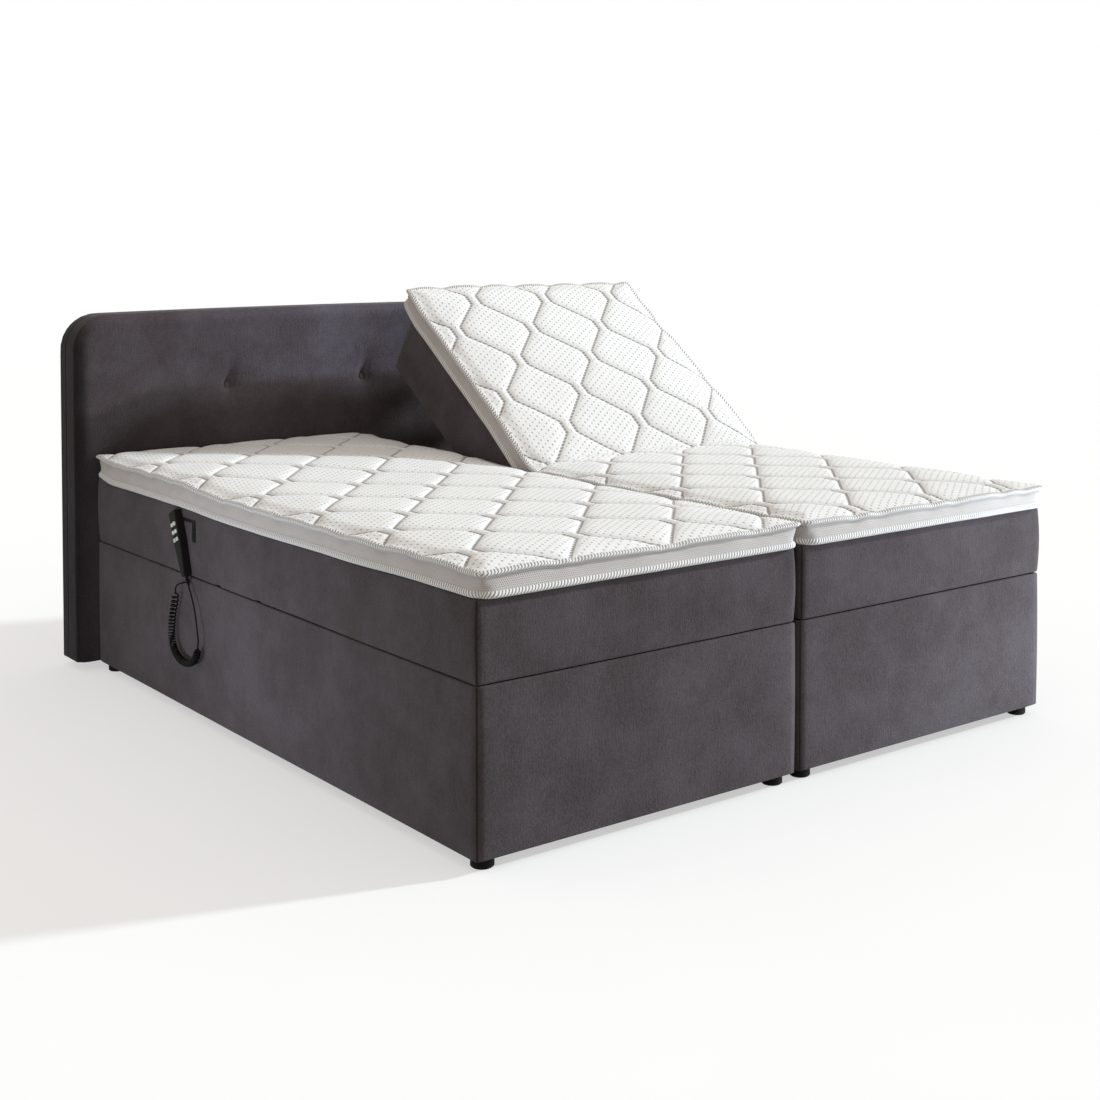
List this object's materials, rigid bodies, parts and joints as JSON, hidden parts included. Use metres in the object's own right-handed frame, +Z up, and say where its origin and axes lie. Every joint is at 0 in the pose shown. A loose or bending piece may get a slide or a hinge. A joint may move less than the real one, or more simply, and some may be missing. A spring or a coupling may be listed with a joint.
{
  "type": "adjustable bed",
  "caption": "Motorised double box-spring bed with a headboard: two upholstered boxes with folding decks, mattresses and quilted toppers, and a corded handset.",
  "frame": {"origin": "on the floor under the middle of the bed's outline, cord left out", "axes": "+X across the bed to the right, +Y from the foot end to the headboard, +Z up"},
  "size_m": [1.916, 2.136, 1.1112],
  "materials": {
    "upholstery": "short-pile taupe grey velour",
    "topper_fabric": "quilted white knit",
    "dust_cloth": "thin black non-woven",
    "chipboard": "raw board",
    "timber": "planed softwood",
    "deck_board": "raw board",
    "frame_steel": "black powder coat",
    "zinc_steel": "zinc plated",
    "drive_plastic": "moulded",
    "black_plastic": "moulded",
    "handset_plastic": "fine texture",
    "key_plastic": "smooth",
    "cord_rubber": "smooth"
  },
  "bodies": {
    "root": {"headboard_board": "upholstery", "headboard_padding": "upholstery", "headboard_buttons": "upholstery", "headboard_bolts": "zinc_steel", "feet": "black_plastic", "dust_covers": "dust_cloth", "deck_rails": "timber", "seat_panels": "deck_board", "drive_motors": "drive_plastic", "cord_grommet": "cord_rubber", "cord_exit_lead": "cord_rubber", "cord_curl": "cord_rubber", "cord_handset_lead": "cord_rubber", "left_box_panels": "chipboard", "left_box_cover": "upholstery", "left_drive_case": "drive_plastic", "left_mattress_middle": "upholstery", "left_topper_middle": "topper_fabric", "right_box_panels": "chipboard", "right_box_cover": "upholstery", "right_drive_case": "drive_plastic", "right_mattress_middle": "upholstery", "right_topper_middle": "topper_fabric"},
    "left_head": {"left_head_frame": "frame_steel", "left_head_panel": "deck_board", "left_mattress_head": "upholstery", "handset_front": "handset_plastic", "handset_back": "handset_plastic", "handset_hook": "handset_plastic"},
    "left_topper_head": {"left_topper_head": "topper_fabric"},
    "left_thigh": {"left_thigh_frame": "frame_steel", "left_thigh_panel": "deck_board", "left_mattress_thigh": "upholstery", "left_topper_thigh": "topper_fabric"},
    "left_calf": {"left_calf_frame": "frame_steel", "left_calf_panel": "deck_board", "left_mattress_calf": "upholstery", "left_topper_calf": "topper_fabric"},
    "left_head_push": {"left_head_push_block": "zinc_steel"},
    "left_leg_push": {"left_leg_push_block": "zinc_steel"},
    "right_head": {"right_head_frame": "frame_steel", "right_head_panel": "deck_board", "right_mattress_head": "upholstery"},
    "right_topper_head": {"right_topper_head": "topper_fabric"},
    "right_thigh": {"right_thigh_frame": "frame_steel", "right_thigh_panel": "deck_board", "right_mattress_thigh": "upholstery", "right_topper_thigh": "topper_fabric"},
    "right_calf": {"right_calf_frame": "frame_steel", "right_calf_panel": "deck_board", "right_mattress_calf": "upholstery", "right_topper_calf": "topper_fabric"},
    "right_head_push": {"right_head_push_block": "zinc_steel"},
    "right_leg_push": {"right_leg_push_block": "zinc_steel"},
    "button_head_up": {"button_head_up": "key_plastic"},
    "button_head_down": {"button_head_down": "key_plastic"},
    "button_leg_up": {"button_leg_up": "key_plastic"},
    "button_leg_down": {"button_leg_down": "key_plastic"},
    "button_both_up": {"button_both_up": "key_plastic"},
    "button_both_down": {"button_both_down": "key_plastic"}
  },
  "joints": [
    {"name": "left_head_hinge", "type": "hinge", "parent": "root", "child": "left_head", "pos_m": [-0.453, 0.088, 0.36], "axis": [1, 0, 0], "range_deg": [0, 60], "deforming": ["left_mattress_middle", "left_topper_middle"]},
    {"name": "left_topper_slide", "type": "slide", "parent": "left_head", "child": "left_topper_head", "axis": [0, 1, 0], "range_m": [-0.0005, 0.1461]},
    {"name": "left_head_push_slide", "type": "slide", "parent": "root", "child": "left_head_push", "axis": [0, 1, 0], "range_m": [-0.0005, 0.0905]},
    {"name": "left_thigh_hinge", "type": "hinge", "parent": "root", "child": "left_thigh", "pos_m": [-0.453, -0.108, 0.36], "axis": [-1, 0, 0], "range_deg": [0, 30]},
    {"name": "left_knee_hinge", "type": "hinge", "parent": "left_thigh", "child": "left_calf", "pos_m": [-0.453, -0.488, 0.36], "axis": [-1, 0, 0], "range_deg": [-48.8, 0.2]},
    {"name": "left_leg_push_slide", "type": "slide", "parent": "root", "child": "left_leg_push", "axis": [0, -1, 0], "range_m": [-0.0005, 0.0471]},
    {"name": "right_head_hinge", "type": "hinge", "parent": "root", "child": "right_head", "pos_m": [0.453, 0.088, 0.36], "axis": [1, 0, 0], "range_deg": [-35, 25], "deforming": ["right_mattress_middle", "right_topper_middle"]},
    {"name": "right_topper_slide", "type": "slide", "parent": "right_head", "child": "right_topper_head", "axis": [0, 0.8192, 0.5736], "range_m": [-0.0854, 0.0612]},
    {"name": "right_head_push_slide", "type": "slide", "parent": "root", "child": "right_head_push", "axis": [0, 1, 0], "range_m": [-0.053, 0.038]},
    {"name": "right_thigh_hinge", "type": "hinge", "parent": "root", "child": "right_thigh", "pos_m": [0.453, -0.108, 0.36], "axis": [-1, 0, 0], "range_deg": [0, 30]},
    {"name": "right_knee_hinge", "type": "hinge", "parent": "right_thigh", "child": "right_calf", "pos_m": [0.453, -0.488, 0.36], "axis": [-1, 0, 0], "range_deg": [-48.8, 0.2]},
    {"name": "right_leg_push_slide", "type": "slide", "parent": "root", "child": "right_leg_push", "axis": [0, -1, 0], "range_m": [-0.0005, 0.0471]},
    {"name": "head_up_press", "type": "slide", "parent": "left_head", "child": "button_head_up", "axis": [1, 0, 0], "range_m": [0, 0.0015], "stiffness_N_per_m": 600, "springref_m": -0.0005},
    {"name": "head_down_press", "type": "slide", "parent": "left_head", "child": "button_head_down", "axis": [1, 0, 0], "range_m": [0, 0.0015], "stiffness_N_per_m": 600, "springref_m": -0.0005},
    {"name": "leg_up_press", "type": "slide", "parent": "left_head", "child": "button_leg_up", "axis": [1, 0, 0], "range_m": [0, 0.0015], "stiffness_N_per_m": 600, "springref_m": -0.0005},
    {"name": "leg_down_press", "type": "slide", "parent": "left_head", "child": "button_leg_down", "axis": [1, 0, 0], "range_m": [0, 0.0015], "stiffness_N_per_m": 600, "springref_m": -0.0005},
    {"name": "both_up_press", "type": "slide", "parent": "left_head", "child": "button_both_up", "axis": [1, 0, 0], "range_m": [0, 0.0015], "stiffness_N_per_m": 600, "springref_m": -0.0005},
    {"name": "both_down_press", "type": "slide", "parent": "left_head", "child": "button_both_down", "axis": [1, 0, 0], "range_m": [0, 0.0015], "stiffness_N_per_m": 600, "springref_m": -0.0005}
  ],
  "couplings": [
    {"joint": "left_topper_slide", "follows": "left_head_hinge", "m_per_rad": 0.139},
    {"joint": "left_head_push_slide", "follows": "left_head_hinge", "m_per_rad": 0.085944},
    {"joint": "left_knee_hinge", "follows": "left_thigh_hinge", "ratio": -1.62},
    {"joint": "left_leg_push_slide", "follows": "left_thigh_hinge", "m_per_rad": 0.088975},
    {"joint": "right_topper_slide", "follows": "right_head_hinge", "m_per_rad": 0.139},
    {"joint": "right_head_push_slide", "follows": "right_head_hinge", "m_per_rad": 0.085944},
    {"joint": "right_knee_hinge", "follows": "right_thigh_hinge", "ratio": -1.62},
    {"joint": "right_leg_push_slide", "follows": "right_thigh_hinge", "m_per_rad": 0.088975}
  ]
}
